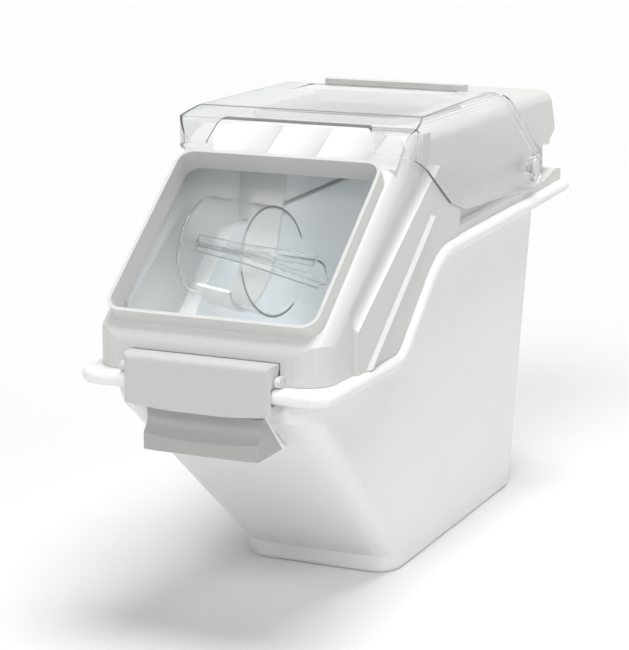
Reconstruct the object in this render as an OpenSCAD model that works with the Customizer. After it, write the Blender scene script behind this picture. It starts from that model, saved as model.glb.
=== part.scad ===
// Ingredient bin: drafted tub with a rolled rim, a hood with a sloping window,
// a clear flip lid on two side pivots, a front catch, and a scoop hung inside.
// X runs across the bin, the front faces -Y, Z is up, and the origin is the
// middle of the floor under the whole bin.

/* [Overall] */
// Length over the catch at the front and the rim at the rear
bin_l = 620; // [520:2:760]
// Half width over the rolled rim
rim_half_w = 113; // [100:1:150]
// Height of the middle of the rim bead at the front
rim_low = 215; // [190:1:260]
// How much higher the rim is at the rear
rim_rise = 86; // [70:1:105]

/* [Tub] */
// Half width of the foot
foot_half_w = 74; // [60:1:90]
// Length of the foot
foot_l = 328; // [270:2:400]
// Upright height of the toe
toe_h = 15.5; // [8:0.5:30]
// Depth of the upright nose under the front rim
nose_h = 30; // [20:1:45]
// Radius of the upright corners
corner_r = 24; // [14:1:30]
// Wall of the tub
tub_wall = 3; // [2:0.25:4]
// Overhang of the rim at the sides
rim_side = 21; // [17:1:26]
// Overhang of the rim at the front
rim_nose = 17; // [14:1:24]
// Overhang of the rim at the rear, which serves as a grip
rim_tail = 54; // [40:1:70]
// Radius of the rolled bead
bead_r = 6.5; // [5:0.25:8]

/* [Hood] */
// Wall of the hood
hood_wall = 2.8; // [2:0.2:4]
// Tilt of the window plane
tilt = 38.5; // [34:0.5:43]
// Height of the front skirt above the rim bead
skirt_h = 36; // [28:1:50]
// Height of the hump above the rear rim bead
hump_h = 96; // [84:1:120]
// Half width of the hump
hump_half_w = 97; // [90:1:99]
// Clear width of the window
window_w = 182; // [150:1:186]
// Clear length of the window along the slope
window_l = 174; // [140:1:180]
// Height of the window box above the frame
window_proud = 13; // [6:0.5:16]
// Length of the opening in the top
mouth_l = 146; // [110:1:150]
// Width of the opening in the top
mouth_w = 142; // [110:1:156]

/* [Lid] */
// Wall of the clear lid
lid_wall = 2.5; // [2:0.25:3.5]
// Length of the flat top of the lid
lid_top_l = 202; // [190:1:206]
// Height of the pivots above the rear rim bead
pivot_h = 31; // [30:0.5:36]
// Radius of the rounded ears of the lid
ear_r = 20; // [17:0.5:20.5]
// Radius of the pivot pins
pin_r = 5; // [4:0.25:6]
// Running clearance round each pin
pin_play = 0.06; // [0.02:0.01:0.1]

/* [Catch] */
// Width of the front catch
catch_w = 130; // [100:1:150]
// Height of the catch above the rim bead
catch_up = 25; // [20:1:28]
// Depth of the catch below the rim bead
catch_down = 15; // [13:0.5:17]

/* [Scoop] */
// Outer radius of the scoop bowl
scoop_r = 42; // [34:1:46]
// Length of the bowl behind the dome
scoop_l = 74; // [60:1:84]

/* [Hidden] */
$fn = 48;
SEAT = 0.3;
EPS = 0.01;

rim_high = rim_low + rim_rise;
rim_rear = bin_l / 2;
catch_front = bin_l / 2;
catch_wall = 3.2;
rim_front = catch_front - catch_wall - 0.8;
rim_corner = corner_r - 3;
mouth_front = rim_front - rim_nose;
mouth_rear = rim_rear - rim_tail;
mouth_half_w = rim_half_w - rim_side;
foot_rear = mouth_rear - 5;
foot_front = foot_rear - foot_l;

function unit(v) = v / norm(v);
function mix(a, b, t) = a + (b - a) * t;
function arc(c, r, a0, a1, n) = [for (i = [0:n]) c + r * [cos(mix(a0, a1, i / n)), sin(mix(a0, a1, i / n))]];

// Replaces one corner b of a polygon by an arc of radius r that meets both its edges
function corner_arc(a, b, c, r) =
    let (u = unit(a - b), v = unit(c - b), half = acos(u * v) / 2)
    let (m = b + unit(u + v) * r / sin(half), p = b + u * r / tan(half) - m, q = b + v * r / tan(half) - m)
    let (a0 = atan2(p.y, p.x), d = atan2(q.y, q.x) - a0, turn = d > 180 ? d - 360 : d < -180 ? d + 360 : d)
    arc(m, r, a0, a0 + turn, max(2, ceil(abs(turn) / 12)));

// Outline from corners given as [x, y, radius]
function rounded(pts) =
    let (n = len(pts), at = function (i) [pts[i].x, pts[i].y])
    [for (i = [0:n - 1]) each pts[i].z == 0 ? [at(i)]
        : corner_arc(at((i + n - 1) % n), at(i), at((i + 1) % n), pts[i].z)];

// The same corners moved in by d, for an outline that runs anticlockwise
function inset(pts, d) =
    let (n = len(pts), at = function (i) [pts[i].x, pts[i].y])
    [for (i = [0:n - 1])
        let (u = unit(at(i) - at((i + n - 1) % n)), v = unit(at((i + 1) % n) - at(i)))
        let (a = [-u.y, u.x], b = [-v.y, v.x], q = at(i) + (a + b) * d / (1 + a * b))
        let (bend = u.x * v.y - u.y * v.x)
        [q.x, q.y, pts[i].z == 0 ? 0 : bend > 0 ? max(0.5, pts[i].z - d) : pts[i].z + d]];

// Side view of the rim: level at the front, a steep ramp between two bends, a gentle rise to the rear
ramp_start = -mouth_front + 132;
ramp_l = 122;
ramp_end = ramp_start + ramp_l;
low_bend = 20;
high_bend = 50;
rear_rise = 10.5;
rear_grade = rear_rise / (rim_rear - ramp_end);
ramp_grade = (rim_rise - rear_rise - rear_grade * high_bend / 2) / (ramp_l - low_bend / 2 - high_bend / 2);
function grade(y) = y <= ramp_start ? 0
    : y >= ramp_end ? rear_grade
    : y < ramp_start + low_bend ? ramp_grade * (y - ramp_start) / low_bend
    : y > ramp_end - high_bend ? mix(rear_grade, ramp_grade, (ramp_end - y) / high_bend)
    : ramp_grade;
function rim_z(y) = y <= ramp_start ? rim_low
    : y >= ramp_end ? rim_high - rear_grade * (rim_rear - y)
    : y < ramp_start + low_bend ? rim_low + grade(y) * (y - ramp_start) / 2
    : y > ramp_end - high_bend ? rim_high - rear_rise - (rear_grade + grade(y)) / 2 * (ramp_end - y)
    : rim_low + ramp_grade * (y - ramp_start - low_bend / 2);
function rim_at(y, b) = rim_z(y) + b * sqrt(1 + pow(grade(y), 2));
function rim_top(y) = rim_at(y, bead_r);

// Plan outline of one row of the tub: four corner arcs and stations along both sides
ARC = 6;
SIDE = 24;
function spread(a, b, n) = [for (i = [1:n]) mix(a, b, i / n)];
side_y = concat(spread(corner_r - mouth_front, ramp_start, 4), spread(ramp_start, ramp_start + low_bend, 5),
    spread(ramp_start + low_bend, ramp_end - high_bend, 2), spread(ramp_end - high_bend, ramp_end, 8),
    spread(ramp_end, mouth_rear - corner_r - 20, 5));
side_from = corner_r - mouth_front;
side_to = mouth_rear - corner_r;
function stations(f, r, cr) = [for (y = side_y) mix(f + cr, r - cr, (y - side_from) / (side_to - side_from))];
function plan(f, r, w, rf, rr, ys) = concat(
    arc([w - rf, f + rf], rf, -90, 0, ARC),
    [for (y = ys) [w, y]],
    arc([w - rr, r - rr], rr, 0, 90, ARC),
    arc([rr - w, r - rr], rr, 90, 180, ARC),
    [for (j = [1:SIDE]) [-w, ys[SIDE - j]]],
    arc([rf - w, f + rf], rf, 180, 270, ARC));

// Front face of the tub at height z: upright toe, long slope, upright nose
knee_h = rim_low - nose_h;
nose_back = 8;
function front_at(z) = z < toe_h ? foot_front - z * 0.05
    : z < knee_h ? mix(foot_front - toe_h * 0.05, nose_back - mouth_front, (z - toe_h) / (knee_h - toe_h))
    : mix(nose_back - mouth_front, -mouth_front, 1 - pow(1 - (z - knee_h) / (rim_low - knee_h), 2));
slope_grow = sqrt(1 + pow((foot_front + mouth_front) / (knee_h - toe_h), 2));

// One row of the wall: share t of the height, skin moved in by d
function wall_row(t, d, z0) =
    let (z = t * rim_low, on_slope = z > toe_h - 1 && z < knee_h + 5, df = on_slope ? d * slope_grow : d)
    let (f = front_at(z) + df, r = mix(foot_rear, mouth_rear, t) - d)
    let (w = mix(foot_half_w, mouth_half_w, t) - d)
    let (top = plan(-mouth_front, mouth_rear, mouth_half_w, corner_r, corner_r, side_y))
    let (flat = plan(f, r, w, corner_r - d, corner_r - d, stations(f, r, corner_r - d)))
    [for (i = [0:len(flat) - 1]) [flat[i].x, flat[i].y, mix(z0, rim_at(top[i].y, bead_r - tub_wall), t)]];

// One row of the bead: d in from its edge, b above its middle
function bead_row(d, b) =
    [for (p = plan(d - rim_front, rim_rear - d, rim_half_w - d, rim_corner - d, rim_corner + 10 - d, side_y))
        [p.x, p.y, rim_at(p.y, b)]];
function mouth_row(d, b) =
    [for (p = plan(d - mouth_front, mouth_rear - d, mouth_half_w - d, corner_r - d, corner_r - d, side_y))
        [p.x, p.y, rim_at(p.y, b)]];

toe_t = toe_h / rim_low;
knee_t = knee_h / rim_low;
curl_r = bead_r - tub_wall;
tub_rows = concat(
    [[for (p = wall_row(0, 4, 0)) [p.x, p.y, 0]]],
    [[for (p = wall_row(0, 1, 0)) [p.x, p.y, 1.2]]],
    [[for (p = wall_row(0, 0, 0)) [p.x, p.y, 4]]],
    [for (t = [toe_t, mix(toe_t, knee_t, 0.33), mix(toe_t, knee_t, 0.66)]) wall_row(t, 0, 0)],
    [for (t = [knee_t, mix(knee_t, 1, 0.3), mix(knee_t, 1, 0.65)]) wall_row(t, 0, 0)],
    [mouth_row(0, curl_r)],
    [for (a = [90:-38:-62]) bead_row(bead_r - curl_r * cos(a), curl_r * sin(a))],
    [for (a = [-62:19:90]) bead_row(bead_r - bead_r * cos(a), bead_r * sin(a))],
    [mouth_row(tub_wall - 1, bead_r)],
    [mouth_row(tub_wall, bead_r - 1)],
    [for (t = [mix(knee_t, 1, 0.65), mix(knee_t, 1, 0.3), knee_t, mix(toe_t, knee_t, 0.5), toe_t + 0.01])
        wall_row(t, tub_wall, tub_wall)],
    [[for (p = wall_row(0, tub_wall + 2, 0)) [p.x, p.y, tub_wall]]]);

module skin(rows) {
    n = len(rows[0]);
    m = len(rows);
    points = [for (row = rows) each row];
    sides = [for (i = [0:m - 2], j = [0:n - 1])
        let (k = (j + 1) % n)
        each [[i * n + j, (i + 1) * n + j, (i + 1) * n + k], [i * n + j, (i + 1) * n + k, i * n + k]]];
    floor_cap = [for (j = [0:n - 1]) j];
    top_cap = [for (j = [n - 1:-1:0]) (m - 1) * n + j];
    polyhedron(points, concat([floor_cap], sides, [top_cap]), convexity = 10);
}

// Curved grip moulded on the nose of the tub, open below for the fingers
grip_half_w = catch_w / 2 - 14;
grip_reach = 15;
grip_drop = 40;
grip_wall = 3.5;
catch_bow = 4;
module across(w) {
    rotate([90, 0, 90]) linear_extrude(height = w, center = true) children();
}
module grip() {
    y = -mouth_front;
    top = rim_low - catch_down - catch_bow - 3;
    low = rim_low - catch_down - grip_drop;
    side = [[y - 6, top, 0], [y - 5, low + 22, 14], [y - grip_reach, low + 11, 3],
        [y - grip_reach, low, 1.5], [front_at(low) + 1.5, low, 0],
        [front_at(low + 14) + 1.5, low + 14, 0], [front_at(top) + 1.5, top, 0]];
    pocket = [[y + 2 * grip_wall - grip_reach, low - 5, 0], [front_at(low) + 1.5, low - 5, 0],
        [front_at(low + 30) + 1, low + 30, 5], [y, low + 26, 5], [y + grip_wall - grip_reach, low + 8, 3]];
    difference() {
        intersection() {
            across(2 * grip_half_w) polygon(rounded(side));
            translate([0, y - grip_reach + 500, low - 20]) cylinder(r = 500, h = 90, $fn = 240);
        }
        across(2 * grip_half_w - 2 * grip_wall) polygon(rounded(pocket));
    }
}

module tub() {
    color("whitesmoke") {
        skin(tub_rows);
        grip();
    }
}

// Slope frame of the hood: origin at the front shoulder, Y up the slope, Z square to it
skirt_back = 14;
hood_front = rim_front - skirt_back;
shoulder_z = rim_low + skirt_h;
hood_top = rim_high + hump_h;
frame_half_w = mouth_half_w + 11.5;
frame_corner = 26;
frame_roll = 16;
wing_half_w = mouth_half_w + 15.5;
brow_drop = 16;
slope_l = (hood_top - brow_drop - shoulder_z) / sin(tilt);
brow_y = slope_l * cos(tilt) - hood_front;
window_start = 16;
module on_slope(tip = 0) {
    translate([0, -hood_front, shoulder_z]) rotate([tilt - tip, 0, 0]) children();
}
function slope_point(s, h) =
    [s * cos(tilt) - h * sin(tilt) - hood_front, s * sin(tilt) + h * cos(tilt) + shoulder_z];

// Bar of a given section, run up the slope from s0 to s1
module up_slope(s0, s1) {
    translate([0, s1, 0]) rotate([90, 0, 0]) linear_extrude(height = s1 - s0) children();
}

// Side outline of the hood, from the front skirt over the hump to the rear block
block_y = mouth_rear + 18;
hood_back = mouth_rear;
block_z = hood_top - 40;
hood_low = rim_low - 60;
hood_side = [
    [-hood_front, hood_low, 0], [hood_back, hood_low, 0], [hood_back, block_z - 8, 3],
    [block_y, block_z, 4], [block_y - 7, hood_top, 13], [brow_y + 18, hood_top, 7],
    [brow_y, hood_top - brow_drop, 9], [-hood_front, shoulder_z, 14]];

function box_section(w, low, top, r) = [[-w, low, 0], [w, low, 0], [w, top, r], [-w, top, r]];
pivot_z = rim_high + pivot_h;
pivot_y = rim_rear - 126;
hump_start = brow_y - 10;
frame_end = brow_y + 56;
wing_y = -mouth_front + 54;
wing_end = brow_y + 120;
eave_out = 4.5;
recess = 3;

// Hump across the bin: its sides lean out from the top down to the eave
hump_section = [[-hump_half_w - eave_out, hood_low, 0], [hump_half_w + eave_out, hood_low, 0],
    [hump_half_w + eave_out, pivot_z + 8, 4], [hump_half_w, hood_top, 13],
    [-hump_half_w, hood_top, 13], [-hump_half_w - eave_out, pivot_z + 8, 4]];

// The hood's solid shape, shrunk by d
module hood_form(d) {
    intersection() {
        across(400) polygon(rounded(inset(hood_side, d)));
        difference() {
            union() {
                frame_form(d);
                translate([0, block_y + 40, 0]) rotate([90, 0, 0])
                    linear_extrude(height = block_y + 40 - hump_start)
                        polygon(rounded(inset(hump_section, d)));
                across(2 * (wing_half_w - d)) polygon(rounded(inset(wing_side, d)));
            }
            for (s = [-1, 1]) {
                flute(s, d);
                side_recess(s, d);
            }
        }
    }
    flange(d);
}
module frame_form(d) {
    w = frame_half_w - d;
    r = frame_corner - d;
    intersection() {
        on_slope() up_slope(-90, slope_l + 130) polygon(rounded(box_section(w, -330, -d, frame_roll - d)));
        translate([0, 0, hood_low]) linear_extrude(height = 400) polygon(rounded([
            [-w, d - hood_front, r], [w, d - hood_front, r], [w, frame_end - d, 4], [-w, frame_end - d, 4]]));
    }
}

// Side panels that stand proud below the window frame, with a ledge along their top
wing_tilt = tilt - 6;
ledge_lift = 2.2;
ledge_up = 6;
function ledge_z(y) = shoulder_z + ledge_up + (y - wing_y) * tan(wing_tilt) + ledge_lift / cos(wing_tilt);
wing_bend = brow_y + 64;
wing_side = [[wing_y, hood_low, 0], [wing_end, hood_low, 0], [wing_end, pivot_z + 16, 4],
    [wing_bend + 37, pivot_z + 25, 20], [wing_bend, ledge_z(wing_bend), 14], [wing_y, ledge_z(wing_y), 8]];

// Soft groove between the window frame and the ledge
flute_w = 9;
flute_h = 27;
module flute(s, d) {
    w = wing_half_w;
    section = [[w - flute_w, ledge_lift, 9], [w + 12, -3, 0], [w + 12, flute_h, 0], [w - 2.5, flute_h, 0]];
    translate([0, wing_y, shoulder_z + ledge_up]) rotate([wing_tilt, 0, 0])
        up_slope(0, wing_end - wing_y) mirror([s < 0 ? 1 : 0, 0]) polygon(rounded(inset(section, -d)));
}

// Wall set back below the curved eave on each side of the hump
eave_line = [[wing_end + 68, pivot_z + 6, 80], [pivot_y - 16, pivot_z + 17, 40],
    [hood_back + 60, pivot_z + 10, 0]];
module side_recess(s, d) {
    side = [[wing_end, rim_high - 60, 0], [hood_back + 60, rim_high - 60, 0],
        eave_line[2], eave_line[1], eave_line[0], [wing_end, pivot_z + 10, 6]];
    translate([s * (hump_half_w + 50 - recess - d), 0, 0]) across(100) polygon(rounded(inset(side, -d)));
}

// Foot flange along both sides and the rear, resting on the rim
flange_half_w = mouth_half_w + 13;
flange_rear = rim_rear - 8;
flange_h = 6;
flange_swell = 14;
flange_side = [[wing_end - 12, hood_low, 0], [flange_rear, hood_low, 0],
    [flange_rear, rim_top(flange_rear) + flange_h, 6], [hood_back + 8, rim_top(hood_back) + flange_swell, 20],
    [hood_back - 26, rim_top(hood_back) + flange_h, 20], [wing_end - 12, rim_top(wing_end) + flange_h, 0]];
module flange(d) {
    w = flange_half_w - d;
    intersection() {
        across(2 * w) polygon(rounded(inset(flange_side, d)));
        translate([0, 0, hood_low]) linear_extrude(height = 300) polygon(rounded([[-w, -200, 0], [w, -200, 0],
            [w, flange_rear - d, 26 - d], [-w, flange_rear - d, 26 - d]]));
    }
}

// Everything below the top face of the rim
module below_rim(gap) {
    across(400) polygon(concat([[-500, 0], [500, 0], [500, rim_top(500) + gap]],
        [for (j = [SIDE - 1:-1:0]) [side_y[j], rim_top(side_y[j]) + gap]], [[-500, rim_top(-500) + gap]]));
}

// Window: raised box, clear well and the seat of the pane at the foot of the well
box_wall = 3;
well_depth = 8;
pane_t = 2.5;
module window_plan(grow) {
    translate([-window_w / 2 - grow, window_start - grow])
        rounded_plate(window_w + 2 * grow, window_l + 2 * grow, 12 + grow);
}
module rounded_plate(w, l, r) {
    polygon(rounded([[0, 0, r], [w, 0, r], [w, l, r], [0, l, r]]));
}

// Lid opening with an upstanding collar
mouth_y = brow_y + 71;
collar_h = 6;
collar_wall = 3;
module mouth_plan(grow) {
    translate([-mouth_w / 2 - grow, mouth_y - grow])
        rounded_plate(mouth_w + 2 * grow, mouth_l + 2 * grow, 14 + grow);
}

// Finger grooves in the brow, under the notch of the lid
finger_r = 50;
finger_pitch = 46;
module finger_grooves(grow) {
    for (x = [-finger_pitch, 0, finger_pitch])
        translate([x, brow_y + 5, hood_top - 16 + finger_r]) rotate([90 + 28, 0, 0])
            cylinder(r = finger_r + grow, h = 76 + 2 * grow, center = true, $fn = 96);
}

boss_r = 11;
lid_half_w = mouth_half_w + 19;

module hood() {
    color("white") {
        difference() {
            union() {
                hood_form(0);
                on_slope() translate([0, 0, -well_depth])
                    linear_extrude(height = window_proud + well_depth) window_plan(box_wall);
                ribs();
                for (s = [-1, 1]) catch_ear(s);
            }
            catch_pocket(0);
            difference() {
                hood_form(hood_wall);
                on_slope() translate([0, 0, -well_depth]) linear_extrude(height = 60) window_plan(box_wall);
                catch_pocket(hood_wall);
                finger_grooves(hood_wall);
                for (s = [-1, 1])
                    translate([s * (hump_half_w - recess - 7), pivot_y, pivot_z]) rotate([0, 90, 0])
                        cylinder(r = boss_r, h = 14, center = true);
            }
            on_slope() translate([0, 0, -60]) linear_extrude(height = 100) window_plan(0);
            translate([0, 0, hood_top - 30]) linear_extrude(height = 60) mouth_plan(0);
            finger_grooves(0);
            translate([0, pivot_y, pivot_z]) rotate([0, 90, 0])
                cylinder(r = pin_r, h = 3 * hump_half_w, center = true);
            at_catch() cylinder(r = catch_pin_r, h = 3 * catch_w, center = true);
            below_rim(SEAT);
        }
        translate([0, 0, hood_top - hood_wall]) linear_extrude(height = hood_wall + collar_h) difference() {
            mouth_plan(collar_wall);
            mouth_plan(0);
        }
    }
}

// Ears of the catch, one beyond each of its ends
catch_pin_r = 2;
catch_axis_y = bead_r - rim_front;
catch_axis_z = rim_low + bead_r + 4.7;
ear_gap = 0.6;
ear_t = 5;
module at_catch() {
    translate([0, catch_axis_y, catch_axis_z]) rotate([0, 90, 0]) children();
}
module catch_ear(s) {
    r = 4.2;
    translate([s * (catch_w / 2 + ear_gap + ear_t / 2), 0, 0]) {
        at_catch() cylinder(r = r, h = ear_t, center = true);
        translate([-ear_t / 2, catch_axis_y, catch_axis_z - r])
            cube([ear_t, skirt_back - bead_r + 1.5, 2 * r]);
    }
}

// Pocket in the front skirt that takes the upper edge of the catch as it rocks
pocket_deep = 4.6;
module catch_pocket(grow) {
    w = catch_w + 1 + 2 * grow;
    translate([-w / 2, -hood_front - 1, rim_low - 40])
        cube([w, 1 + pocket_deep + grow, 40 + catch_up + 0.1 + grow]);
}

// Rib down each side panel
rib_out = 3.5;
module ribs() {
    w = wing_half_w + rib_out;
    intersection() {
        translate([0, wing_y + 14, rim_low + 2]) rotate([tilt - 1.5, 0, 0]) up_slope(0, 180)
            polygon([[-w, -3], [w, -3], [w, 0], [w - rib_out - 1, 3], [1 + rib_out - w, 3], [-w, 0]]);
        translate([0, 0, rim_low]) linear_extrude(height = 200) difference() {
            translate([-w, wing_y]) square([2 * w, 200]);
            translate([1 - wing_half_w, wing_y - 1]) square([2 * wing_half_w - 2, 202]);
        }
    }
}

module window_pane() {
    color("lightsteelblue", 0.35) on_slope() translate([0, 0, -well_depth - pane_t])
        linear_extrude(height = pane_t) window_plan(box_wall);
}

// Clear lid: side outline from the front skirt over the flat top to the ears
lid_top = hood_top + 17;
lid_front = brow_y + 36;
lid_rear = lid_front + lid_top_l;
tail_top = lid_rear - 11;
pivot_at = [pivot_y, pivot_z];
to_tail = [tail_top, lid_top] - pivot_at;
tail_tilt = atan2(to_tail.y, -to_tail.x) - asin(ear_r / norm(to_tail));
skirt_bend = [lid_front + 88, pivot_z - 11.5];
to_bend = pivot_at - skirt_bend;
skirt_fall = atan2(to_bend.x, to_bend.y) - acos(ear_r / norm(to_bend));
ear_low = [-sin(skirt_fall), -cos(skirt_fall)];
ear_high = [sin(tail_tilt), cos(tail_tilt)];
ear_corner = pivot_at + (ear_low + ear_high) * ear_r / (1 + ear_low * ear_high);
lid_side = [
    [lid_front - 42, hood_top - brow_drop + 4, 2], [lid_front - 4, hood_top - brow_drop - 13, 20],
    [lid_front + 54, pivot_z - 1, 26], [skirt_bend.x, skirt_bend.y, 40],
    [ear_corner.x, ear_corner.y, ear_r], [tail_top, lid_top, 70], [lid_front, lid_top - 2, 14],
    [lid_front - 32, lid_top - 10, 12]];
lid_section = box_section(lid_half_w, rim_low, lid_top, 15);
module lid_form(d, low) {
    line = inset(lid_side, d);
    side = low == 0 ? lid_side : concat([[line[0].x, line[0].y - low, 0], [line[4].x, line[4].y - low, 0],
        [line[4].x, line[4].y, 0]], [for (i = [5:7]) line[i]], [[line[0].x, line[0].y, 0]]);
    intersection() {
        across(400) polygon(rounded(side));
        translate([0, 400, 0]) rotate([90, 0, 0])
            linear_extrude(height = 800) polygon(rounded(inset(lid_section, d)));
        translate([0, 0, rim_low]) linear_extrude(height = 300) polygon(rounded([
            [d - lid_half_w, lid_front - 42 + d, 22 - d], [lid_half_w - d, lid_front - 42 + d, 22 - d],
            [lid_half_w - d, 400, 0], [d - lid_half_w, 400, 0]]));
    }
}
hub_r = 9;
hub_l = 8;
ring_r = 14;
ring_out = 1.8;
notch_w = 140;
panel_half_w = 73;
module flip_lid() {
    foot_w = notch_w / 2 + 8;
    color("lightgray", 0.35) difference() {
        union() {
            difference() {
                lid_form(0, 0);
                lid_form(lid_wall, 60);
                translate([-hump_half_w - 4, lid_rear, rim_high - 40]) cube([2 * hump_half_w + 8, 400, 200]);
            }
            for (s = [-1, 1])
                translate([s * lid_half_w, pivot_y, pivot_z]) rotate([0, s * 90, 0]) {
                    translate([0, 0, -lid_wall]) cylinder(r = ring_r, h = lid_wall + ring_out);
                    translate([0, 0, -hub_l]) cylinder(r = hub_r, h = hub_l);
                }
        }
        for (s = [-1, 1])
            translate([s * lid_half_w, pivot_y, pivot_z]) rotate([0, s * 90, 0]) {
                cylinder(r = ring_r - 2, h = 9);
                translate([0, 0, -40]) cylinder(r = pin_r + pin_play, h = 80);
            }
        translate([0, lid_front - 10, 0]) rotate([90, 0, 0]) linear_extrude(height = 60) polygon(rounded([
            [-foot_w, hood_top - 40, 0], [foot_w, hood_top - 40, 0], [foot_w, hood_top - 12, 4],
            [notch_w / 2, hood_top + 7, 6], [-notch_w / 2, hood_top + 7, 6], [-foot_w, hood_top - 12, 4]]));
        translate([-panel_half_w, lid_front + 32, lid_top - 0.8])
            linear_extrude(height = 5) rounded_plate(2 * panel_half_w, 142, 12);
    }
}

// Grip rail across the rear edge of the lid, seated on its curve
rail_w = 140;
rail_deep = 11.5;
rail_up = 2.5;
rail_foot = 10;
module lid_rail() {
    color("white") difference() {
        translate([-rail_w / 2, lid_rear - rail_deep - 0.5, lid_top - rail_foot])
            linear_extrude(height = rail_foot + rail_up) rounded_plate(rail_w, rail_deep, 2);
        lid_form(0, 0);
    }
}

module pivot_pin(s) {
    color("gainsboro") translate([s * (hump_half_w - recess - 12), pivot_y, pivot_z]) rotate([0, s * 90, 0]) {
        cylinder(r = pin_r, h = lid_half_w + 1.5 - hump_half_w + recess + 12);
        translate([0, 0, lid_half_w - hump_half_w + recess + 12.2]) cylinder(r = pin_r + 3, h = 1.5);
    }
}
module pivot_pin_right() {
    pivot_pin(1);
}
module pivot_pin_left() {
    pivot_pin(-1);
}

// Rocking catch: its lip lies under the rim bead until the lower edge is pulled out
catch_end = 3;
catch_corner = 5;
catch_rest = 0.4;
module front_catch() {
    f = -catch_front;
    top = rim_low + catch_up;
    low = rim_low - catch_down - catch_bow;
    back = -mouth_front - 1;
    bow_r = (pow(catch_w / 2, 2) + pow(catch_bow, 2)) / (2 * catch_bow);
    lip = catch_axis_z - bead_r - 12.1;
    tip = -hood_front - catch_rest;
    shell = [[f, low, 1.5], [back, low, 2], [back, lip, 1.5], [f + catch_wall, lip, 1],
        [f + catch_wall, top - catch_wall, 2], [tip, top - catch_wall, 0.5], [tip, top, 1.4], [f, top, 5]];
    end = [[f, low, 1.5], [f + catch_wall, low, 0], [f + catch_wall, catch_axis_z - 4.1, 0],
        [catch_axis_y, catch_axis_z - 4.1, 1], [catch_axis_y + 4.3, catch_axis_z, 1],
        [tip, top - catch_wall, 1], [tip, top, 1.4], [f, top, 5]];
    color("whitesmoke") difference() {
        intersection() {
            union() {
                across(catch_w) polygon(rounded(shell));
                for (s = [-1, 1])
                    translate([s * (catch_w - catch_end) / 2, 0, 0]) across(catch_end) polygon(rounded(end));
            }
            translate([-catch_w / 2, f, low - 10]) linear_extrude(height = 100) polygon(rounded([
                [0, 0, catch_corner], [catch_w, 0, catch_corner], [catch_w, 60, 0], [0, 60, 0]]));
            translate([0, 0, low + bow_r]) rotate([90, 0, 0])
                cylinder(r = bow_r, h = 1000, center = true, $fn = 360);
        }
        at_catch() cylinder(r = catch_pin_r + pin_play, h = 2 * catch_w, center = true);
    }
}
module catch_pin(s) {
    l = catch_end + ear_gap + ear_t;
    color("gainsboro") translate([s * (catch_w / 2 - catch_end), 0, 0]) at_catch()
        translate([0, 0, s < 0 ? -l : 0]) cylinder(r = catch_pin_r, h = l);
}
module catch_pin_right() {
    catch_pin(1);
}
module catch_pin_left() {
    catch_pin(-1);
}

// Scoop: flared shell with a closed end, and a channel handle along its axis
scoop_wall = 2;
scoop_flare = 6;
scoop_x = 6 - mouth_half_w;
scoop_at = slope_point(150, -scoop_r - 18);
scoop_dip = 8;
module at_scoop(turn = tilt) {
    translate([scoop_x, scoop_at.x, scoop_at.y]) rotate([0, 90 + scoop_dip, 0])
        rotate([0, 0, turn]) children();
}
module scoop() {
    mouth_r = scoop_r + scoop_flare;
    grip_end = scoop_l + 50;
    color("lightsteelblue", 0.4) at_scoop() {
        difference() {
            rotate_extrude($fn = 72) polygon(rounded([
                [0, 0, 0], [scoop_r, 0, 9], [mouth_r, scoop_l + 20, 0.8],
                [mouth_r - scoop_wall, scoop_l + 20, 0.8], [scoop_r - scoop_wall, scoop_wall, 7],
                [0, scoop_wall, 0]]));
            translate([0, -2 * mouth_r, scoop_l]) rotate([0, -16, 0])
                translate([-200, 0, 0]) cube([400, 4 * mouth_r, 60]);
        }
        for (s = [-1, 1]) handle_side(s, grip_end);
        rotate([90, 0, 0]) linear_extrude(height = 2.5, center = true)
            polygon(rounded([[-4, 1, 0], [4, 1, 0], [6, 50, 0],
                [17, grip_end, 8], [-17, grip_end, 8], [-6, 50, 0]]));
    }
}
module handle_side(s, l) {
    rotate([90, 0, 0]) linear_extrude(height = 12, center = true)
        polygon([[s * 2.5, 1], [s * 4.5, 1], [s * 6.5, 50], [s * 16, l - 8], [s * 14, l - 8], [s * 4.5, 50]]);
}

// Cradle strap that carries the scoop from the roof of the hood
hook_w = 30;
hook_t = 3;
hook_from = 26;
hook_r = scoop_r + scoop_flare * (hook_from + hook_w) / (scoop_l + 20) + SEAT;
hook_back = brow_y + 60 - scoop_at.x - hook_r;
hook_step = hood_top - scoop_at.y - 13.6;
module scoop_hook() {
    r = hook_r;
    o = r + hook_t;
    color("white") intersection() {
        at_scoop(0) translate([0, 0, hook_from]) linear_extrude(height = hook_w)
            polygon(rounded([[r * sin(30), -r * cos(30), 0], [r, -r * tan(30), r], [r, r, r],
                [-hook_step, r, 3], [-hook_step, r + hook_back, 6], [-200, r + hook_back, 0],
                [-200, o + hook_back, 0],
                [hook_t - hook_step, o + hook_back, 3], [hook_t - hook_step, o, 6], [o, o, o],
                [o, -o * tan(30), o], [o * sin(30), -o * cos(30), 0]]));
        translate([-200, -400, 0]) cube([400, 800, hood_top - hood_wall]);
    }
}

tub();
hood();
window_pane();
flip_lid();
lid_rail();
pivot_pin_right();
pivot_pin_left();
front_catch();
catch_pin_right();
catch_pin_left();
scoop();
scoop_hook();
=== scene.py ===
import bpy
import math
from mathutils import Matrix, Vector

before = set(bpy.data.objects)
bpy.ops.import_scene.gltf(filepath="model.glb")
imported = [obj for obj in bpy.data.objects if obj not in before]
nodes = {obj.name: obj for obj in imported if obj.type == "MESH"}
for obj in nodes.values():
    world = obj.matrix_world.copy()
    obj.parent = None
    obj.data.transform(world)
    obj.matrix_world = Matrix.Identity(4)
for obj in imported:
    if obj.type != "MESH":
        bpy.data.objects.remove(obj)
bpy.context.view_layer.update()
print("frame loaded:", len(nodes), "nodes")

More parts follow.
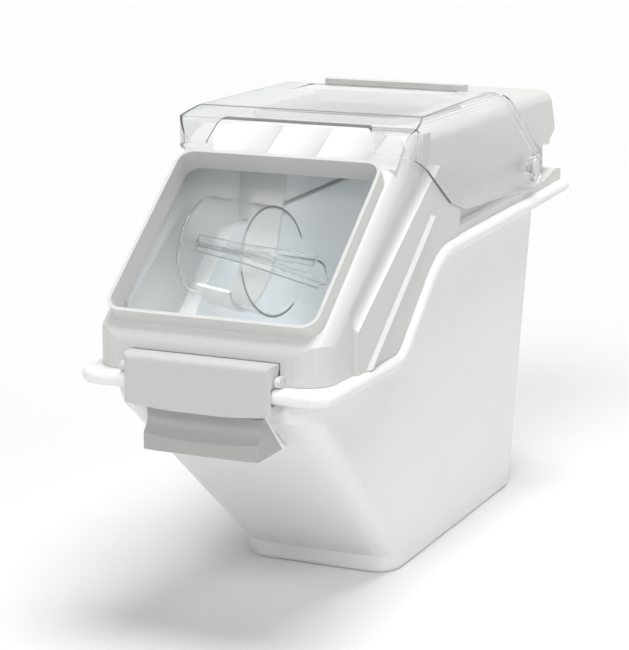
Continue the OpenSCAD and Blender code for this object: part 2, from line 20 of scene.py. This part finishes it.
scene = bpy.context.scene
scene.view_settings.view_transform = "Standard"


# small helpers for node materials

def newMaterial(name):
    mat = bpy.data.materials.new(name)
    mat.use_nodes = True
    tree = mat.node_tree
    tree.nodes.clear()
    out = tree.nodes.new("ShaderNodeOutputMaterial")
    shader = tree.nodes.new("ShaderNodeBsdfPrincipled")
    tree.links.new(shader.outputs["BSDF"], out.inputs["Surface"])
    return mat, tree, shader


def mathNode(tree, operation, *values):
    node = tree.nodes.new("ShaderNodeMath")
    node.operation = operation
    for socket, value in zip(node.inputs, values):
        if isinstance(value, float):
            socket.default_value = value
        else:
            tree.links.new(value, socket)
    return node.outputs["Value"]


def noiseNode(tree, scale, detail=2.0):
    coords = tree.nodes.new("ShaderNodeTexCoord")
    noise = tree.nodes.new("ShaderNodeTexNoise")
    noise.inputs["Scale"].default_value = scale
    noise.inputs["Detail"].default_value = detail
    tree.links.new(coords.outputs["Object"], noise.inputs["Vector"])
    return noise.outputs["Fac"]


def varyRoughness(tree, shader, noise, low, high):
    ramp = tree.nodes.new("ShaderNodeMapRange")
    ramp.inputs["From Min"].default_value = 0.3
    ramp.inputs["From Max"].default_value = 0.7
    ramp.inputs["To Min"].default_value = low
    ramp.inputs["To Max"].default_value = high
    tree.links.new(noise, ramp.inputs["Value"])
    tree.links.new(ramp.outputs["Result"], shader.inputs["Roughness"])


def addGrain(tree, shader, look):
    bump = tree.nodes.new("ShaderNodeBump")
    bump.inputs["Strength"].default_value = look["grainStrength"]
    bump.inputs["Distance"].default_value = look["grainDepth"]
    tree.links.new(noiseNode(tree, look["grainScale"]), bump.inputs["Height"])
    tree.links.new(bump.outputs["Normal"], shader.inputs["Normal"])


def colourMix(tree, factor):
    mix = tree.nodes.new("ShaderNodeMix")
    mix.data_type = "RGBA"
    tree.links.new(factor, mix.inputs["Factor"])
    return mix


# white plastics

def whitePlastic(name, look):
    mat, tree, shader = newMaterial(name)
    cloud = colourMix(tree, noiseNode(tree, look["cloudScale"]))
    cloud.inputs["A"].default_value = (*look["shade"], 1)
    cloud.inputs["B"].default_value = (*look["colour"], 1)
    tree.links.new(cloud.outputs["Result"], shader.inputs["Base Color"])
    varyRoughness(tree, shader, noiseNode(tree, look["patchScale"], 3.0), *look["roughness"])
    addGrain(tree, shader, look)
    shader.inputs["IOR"].default_value = look["ior"]
    return mat


def tintZone(mat, zone):
    # another colour inside a box, on what stands ahead of the tub's sloping front; used for the grip,
    # whose grey plastic is darkened further as painted shade
    tree = mat.node_tree
    shader = next(n for n in tree.nodes if n.type == "BSDF_PRINCIPLED")
    base = shader.inputs["Base Color"].links[0].from_socket
    coords = tree.nodes.new("ShaderNodeTexCoord")
    split = tree.nodes.new("ShaderNodeSeparateXYZ")
    tree.links.new(coords.outputs["Object"], split.inputs["Vector"])
    x, y, z = split.outputs
    across = mathNode(tree, "LESS_THAN", mathNode(tree, "ABSOLUTE", x), zone["halfWidth"])
    above = mathNode(tree, "GREATER_THAN", z, zone["bottom"])
    below = mathNode(tree, "LESS_THAN", z, zone["top"])
    depth = mathNode(tree, "ADD", y, mathNode(tree, "MULTIPLY", z, zone["slope"]))
    inside = mathNode(tree, "LESS_THAN", depth, zone["front"])
    for share in (across, above, below):
        inside = mathNode(tree, "MULTIPLY", inside, share)
    mix = colourMix(tree, inside)
    tree.links.new(base, mix.inputs["A"])
    mix.inputs["B"].default_value = (*zone["colour"], 1)
    tree.links.new(mix.outputs["Result"], shader.inputs["Base Color"])


hoodLook = {
    "colour": (0.72, 0.72, 0.706),
    "shade": (0.705, 0.705, 0.69),      # slightly duller patches
    "cloudScale": 9.0,                  # size of those patches, larger is finer
    "roughness": (0.34, 0.44),
    "patchScale": 54.0,                 # where the gloss changes
    "grainScale": 1400.0,               # moulded grain
    "grainStrength": 0.35,
    "grainDepth": 0.00006,
    "ior": 1.48,
}
hoodWhite = whitePlastic("hoodWhite", hoodLook)

tubLook = {**hoodLook, "colour": (0.93, 0.932, 0.933), "shade": (0.915, 0.917, 0.92)}
tubWhite = whitePlastic("tubWhite", tubLook)

# the finger grip on the nose of the tub, in metres; its colour is the grip's grey plastic made darker
# by painted shade from the catch above it; slope and front give the plane of the tub's front
gripGreyAndShade = {
    "colour": (0.46, 0.462, 0.446),
    "halfWidth": 0.0514,
    "bottom": 0.159,
    "top": 0.194,
    "slope": 0.97,
    "front": -0.1018,
}
tintZone(tubWhite, gripGreyAndShade)

catchLook = {**hoodLook, "colour": (0.64, 0.642, 0.632), "shade": (0.625, 0.627, 0.618)}
catchWhite = whitePlastic("catchWhite", catchLook)

pinLook = {**hoodLook, "colour": (0.78, 0.79, 0.79), "shade": (0.75, 0.76, 0.76)}
pinGrey = whitePlastic("pinGrey", pinLook)


# clear plastics

def clearPlastic(name, look):
    mat, tree, shader = newMaterial(name)
    varyRoughness(tree, shader, noiseNode(tree, look["hazeScale"]), *look["roughness"])
    addGrain(tree, shader, look)
    shader.inputs["Base Color"].default_value = (*look["colour"], 1)
    shader.inputs["IOR"].default_value = look["ior"]
    shader.inputs["Transmission Weight"].default_value = look["clear"]
    openForLamps(tree, shader, look["lampTint"])
    return mat


def openForLamps(tree, shader, tint):
    # thin clear walls let the lamps reach what they cover
    out = next(n for n in tree.nodes if n.type == "OUTPUT_MATERIAL")
    path = tree.nodes.new("ShaderNodeLightPath")
    through = tree.nodes.new("ShaderNodeBsdfTransparent")
    through.inputs["Color"].default_value = (*tint, 1)
    mix = tree.nodes.new("ShaderNodeMixShader")
    tree.links.new(path.outputs["Is Shadow Ray"], mix.inputs["Fac"])
    tree.links.new(shader.outputs["BSDF"], mix.inputs[1])
    tree.links.new(through.outputs["BSDF"], mix.inputs[2])
    tree.links.new(mix.outputs["Shader"], out.inputs["Surface"])


lidLook = {
    "colour": (0.915, 0.925, 0.925),
    "clear": 0.95,                      # 1 is wholly clear
    "lampTint": (0.66, 0.665, 0.665),   # light that each wall lets through from the lamps
    "ior": 1.38,
    "roughness": (0.02, 0.04),
    "hazeScale": 21.667,
    "grainScale": 260.0,
    "grainStrength": 0.2,
    "grainDepth": 0.00003,
}
clearLid = clearPlastic("clearLid", lidLook)

paneLook = {
    **lidLook,
    "colour": (0.965, 0.985, 0.99),
    "clear": 0.97,
    "lampTint": (1.0, 1.0, 1.0),
}
clearPane = clearPlastic("clearPane", paneLook)

scoopLook = {
    **lidLook,
    "colour": (0.985, 0.99, 0.992),
    "clear": 0.97,
    "lampTint": (0.97, 0.975, 0.98),
    "ior": 1.33,
}
clearScoop = clearPlastic("clearScoop", scoopLook)


# every node keeps its CAD mesh and gets its material

finishes = {
    "tub": tubWhite,
    "hood": hoodWhite,
    "lid_rail": hoodWhite,
    "scoop_hook": hoodWhite,
    "front_catch": catchWhite,
    "pivot_pin_right": pinGrey,
    "pivot_pin_left": pinGrey,
    "catch_pin_right": pinGrey,
    "catch_pin_left": pinGrey,
    "flip_lid": clearLid,
    "window_pane": clearPane,
    "scoop": clearScoop,
}
for name, mat in finishes.items():
    materials = nodes[name].data.materials
    materials.clear()
    materials.append(mat)
print("materials set")


# camera at the photograph's place, in metres, degrees and millimetres of lens

cameraSettings = {
    "place": (0.7938, -1.8507, 0.6556),
    "turn": 24.149,
    "height": 12.608,
    "roll": 0.125,
    "lens": 125.68,
    "sensor": 36,
}


def makeCamera(c):
    a = math.radians(c["turn"])
    e = math.radians(c["height"])
    back = Vector((math.sin(a) * math.cos(e), -math.cos(a) * math.cos(e), math.sin(e)))
    right = Vector((math.cos(a), math.sin(a), 0))
    up = back.cross(right)
    cam = bpy.data.cameras.new("photoCamera")
    cam.lens = c["lens"]
    cam.sensor_width = c["sensor"]
    cam.sensor_fit = "AUTO"
    obj = bpy.data.objects.new("photoCamera", cam)
    place = Matrix.Translation(c["place"])
    turn = Matrix((right, up, back)).transposed().to_4x4()
    roll = Matrix.Rotation(math.radians(c["roll"]), 4, "Z")
    obj.matrix_world = place @ turn @ roll
    scene.collection.objects.link(obj)
    scene.camera = obj


makeCamera(cameraSettings)


# floor and world

studio = {
    "floorSize": 40.0,
    "floorColour": (0.82, 0.82, 0.82),
    "floorRoughness": 0.9,
    "floorLift": 0.05,                  # what the camera sees on top of the lit floor
    "ambient": 0.2,                     # light of the world on the object
}


def seenShare(tree):
    # 1 for rays that show a surface, straight, mirrored or through glass, 0 for rays that light one
    path = tree.nodes.new("ShaderNodeLightPath")
    seen = path.outputs["Is Camera Ray"]
    for kind in ("Is Glossy Ray", "Is Transmission Ray"):
        seen = mathNode(tree, "MAXIMUM", seen, path.outputs[kind])
    undiffused = mathNode(tree, "LESS_THAN", path.outputs["Diffuse Depth"], 0.5)
    return mathNode(tree, "MULTIPLY", seen, undiffused)


def makeFloor(s):
    mesh = bpy.data.meshes.new("floor")
    h = s["floorSize"] / 2
    mesh.from_pydata([(-h, -h, 0), (h, -h, 0), (h, h, 0), (-h, h, 0)], [], [(0, 1, 2, 3)])
    obj = bpy.data.objects.new("floor", mesh)
    scene.collection.objects.link(obj)
    mat, tree, shader = newMaterial("floorWhite")
    shader.inputs["Base Color"].default_value = (*s["floorColour"], 1)
    shader.inputs["Roughness"].default_value = s["floorRoughness"]
    shader.inputs["Specular IOR Level"].default_value = 0.0
    shader.inputs["Emission Color"].default_value = (1, 1, 1, 1)
    lift = mathNode(tree, "MULTIPLY", seenShare(tree), s["floorLift"])
    tree.links.new(lift, shader.inputs["Emission Strength"])
    mesh.materials.append(mat)


def makeWorld(s):
    world = bpy.data.worlds.new("studioWorld")
    scene.world = world
    world.use_nodes = True
    tree = world.node_tree
    tree.nodes.clear()
    out = tree.nodes.new("ShaderNodeOutputWorld")
    mix = tree.nodes.new("ShaderNodeMixShader")
    tree.links.new(seenShare(tree), mix.inputs["Fac"])
    for socket, strength in zip(mix.inputs[1:], (s["ambient"], 1.0)):
        white = tree.nodes.new("ShaderNodeBackground")
        white.inputs["Color"].default_value = (1, 1, 1, 1)
        white.inputs["Strength"].default_value = strength
        tree.links.new(white.outputs["Background"], socket)
    tree.links.new(mix.outputs["Shader"], out.inputs["Surface"])


makeFloor(studio)
makeWorld(studio)


# lamps: where each comes from, its width in degrees, and the light it gives a surface that faces it

lamps = {
    "topLight": ((0.13, 0.05, 0.99), 34, 0.7),
    "rightLight": ((0.93, -0.1, 0.35), 30, 0.1),
    "frontLight": ((0.1, -0.8, 0.59), 20, 0.36),
}


def makeLamp(name, source, width, light):
    lamp = bpy.data.lights.new(name, "SUN")
    lamp.angle = math.radians(width)
    lamp.energy = light * math.pi
    obj = bpy.data.objects.new(name, lamp)
    obj.matrix_world = Vector(source).to_track_quat("Z", "Y").to_matrix().to_4x4()
    scene.collection.objects.link(obj)


for name, (source, width, light) in lamps.items():
    makeLamp(name, source, width, light)


# daylight that the pale walls of the bin let through, as one weak soft lamp inside it

innerGlow = {
    "place": (0.0, 0.0, 0.16),
    "size": 0.08,
    "power": 0.16,
    "colour": (0.76, 0.92, 1.0),
}


def makeGlow(g):
    lamp = bpy.data.lights.new("innerGlow", "POINT")
    lamp.shadow_soft_size = g["size"]
    lamp.energy = g["power"]
    lamp.color = g["colour"]
    obj = bpy.data.objects.new("innerGlow", lamp)
    obj.location = g["place"]
    obj.visible_camera = False
    obj.visible_glossy = False
    obj.visible_transmission = False
    scene.collection.objects.link(obj)


makeGlow(innerGlow)
print("studio ready")
